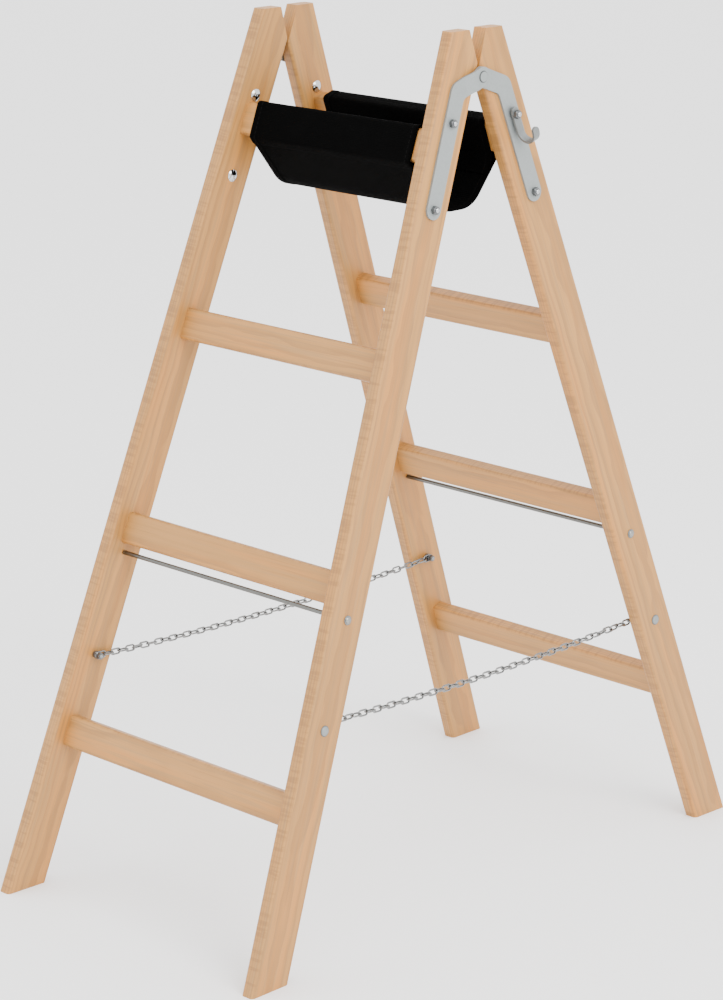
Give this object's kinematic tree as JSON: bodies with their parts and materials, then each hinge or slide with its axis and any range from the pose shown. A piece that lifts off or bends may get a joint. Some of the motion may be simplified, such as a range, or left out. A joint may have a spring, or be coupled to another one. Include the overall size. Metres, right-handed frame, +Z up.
{
  "type": "double-sided rung stepladder",
  "caption": "Wooden double-sided folding stepladder with flat rungs, riveted hinge plates, safety chains, a hanging textile tool tray and a bucket hook.",
  "frame": {"origin": "on the floor in the middle of the open ladder's footprint", "axes": "+X along the rungs towards the side with the bucket hook, +Y from the front section to the back section, +Z up"},
  "size_m": [0.4894, 0.923, 1.1385],
  "materials": {
    "stile_wood": "planed pale softwood, clear sealed",
    "rung_wood": "planed pale hardwood, clear sealed",
    "galvanised_steel": "matte zinc plated",
    "bright_steel": "bright zinc plated",
    "nut_steel": "dull zinc plated",
    "chain_steel": "dull zinc plated round wire",
    "tray_textile": "coarse woven black textile"
  },
  "bodies": {
    "front_ladder": {"front_stile_near": "stile_wood", "front_stile_far": "stile_wood", "front_rung_1": "rung_wood", "front_rung_2": "rung_wood", "front_rung_3": "rung_wood", "front_rung_4": "rung_wood", "front_tie_rod": "galvanised_steel", "front_rod_washers": "galvanised_steel", "front_hinge_plate_near": "galvanised_steel", "front_hinge_plate_far": "galvanised_steel", "front_plate_bolts": "bright_steel", "front_plate_nuts": "nut_steel", "front_chain_bolts": "galvanised_steel", "front_chain_washers": "galvanised_steel", "front_chain_nuts": "nut_steel", "hinge_rivets": "galvanised_steel", "tool_tray": "tray_textile"},
    "back_ladder": {"back_stile_near": "stile_wood", "back_stile_far": "stile_wood", "back_rung_1": "rung_wood", "back_rung_2": "rung_wood", "back_rung_3": "rung_wood", "back_rung_4": "rung_wood", "back_tie_rod": "galvanised_steel", "back_rod_washers": "galvanised_steel", "back_hinge_plate_near": "galvanised_steel", "back_hinge_plate_far": "galvanised_steel", "back_plate_bolts": "bright_steel", "back_plate_nuts": "nut_steel", "back_chain_bolts": "galvanised_steel", "back_chain_washers": "galvanised_steel", "back_chain_nuts": "nut_steel", "bucket_hook": "galvanised_steel", "hook_nut": "nut_steel"},
    "front_chain_ends": {"chain_near_front_end": "chain_steel", "chain_far_front_end": "chain_steel"},
    "front_chain_middles": {"chain_near_front_middle": "chain_steel", "chain_far_front_middle": "chain_steel"},
    "back_chain_ends": {"chain_near_back_end": "chain_steel", "chain_far_back_end": "chain_steel"},
    "back_chain_middles": {"chain_near_back_middle": "chain_steel", "chain_far_back_middle": "chain_steel"}
  },
  "joints": [
    {"name": "fold", "type": "hinge", "parent": "front_ladder", "child": "back_ladder", "pos_m": [0, 0, 1.08], "axis": [-1, 0, 0], "range_deg": [0, 40], "deforming": ["chain_near_front_end", "chain_near_front_middle", "chain_near_back_end", "chain_near_back_middle", "chain_far_front_end", "chain_far_front_middle", "chain_far_back_end", "chain_far_back_middle", "tool_tray"]},
    {"name": "front_chain_hang", "type": "hinge", "parent": "front_ladder", "child": "front_chain_ends", "pos_m": [0, -0.3182, 0.30601], "axis": [-1, 0, 0], "range_deg": [0, 93.9]},
    {"name": "front_chain_bend", "type": "hinge", "parent": "front_chain_ends", "child": "front_chain_middles", "pos_m": [0, -0.21724, 0.30093], "axis": [-1, 0, 0], "range_deg": [0, 12.1]},
    {"name": "back_chain_hang", "type": "hinge", "parent": "back_ladder", "child": "back_chain_ends", "pos_m": [0, 0.3182, 0.30601], "axis": [1, 0, 0], "range_deg": [0, 93.9]},
    {"name": "back_chain_bend", "type": "hinge", "parent": "back_chain_ends", "child": "back_chain_middles", "pos_m": [0, 0.21724, 0.30093], "axis": [1, 0, 0], "range_deg": [0, 12.1]}
  ],
  "couplings": [
    {"joint": "front_chain_hang", "follows": "fold", "ratio": 2.347},
    {"joint": "front_chain_bend", "follows": "fold", "ratio": 0.3005},
    {"joint": "back_chain_hang", "follows": "fold", "ratio": 2.347},
    {"joint": "back_chain_bend", "follows": "fold", "ratio": 0.3005}
  ]
}
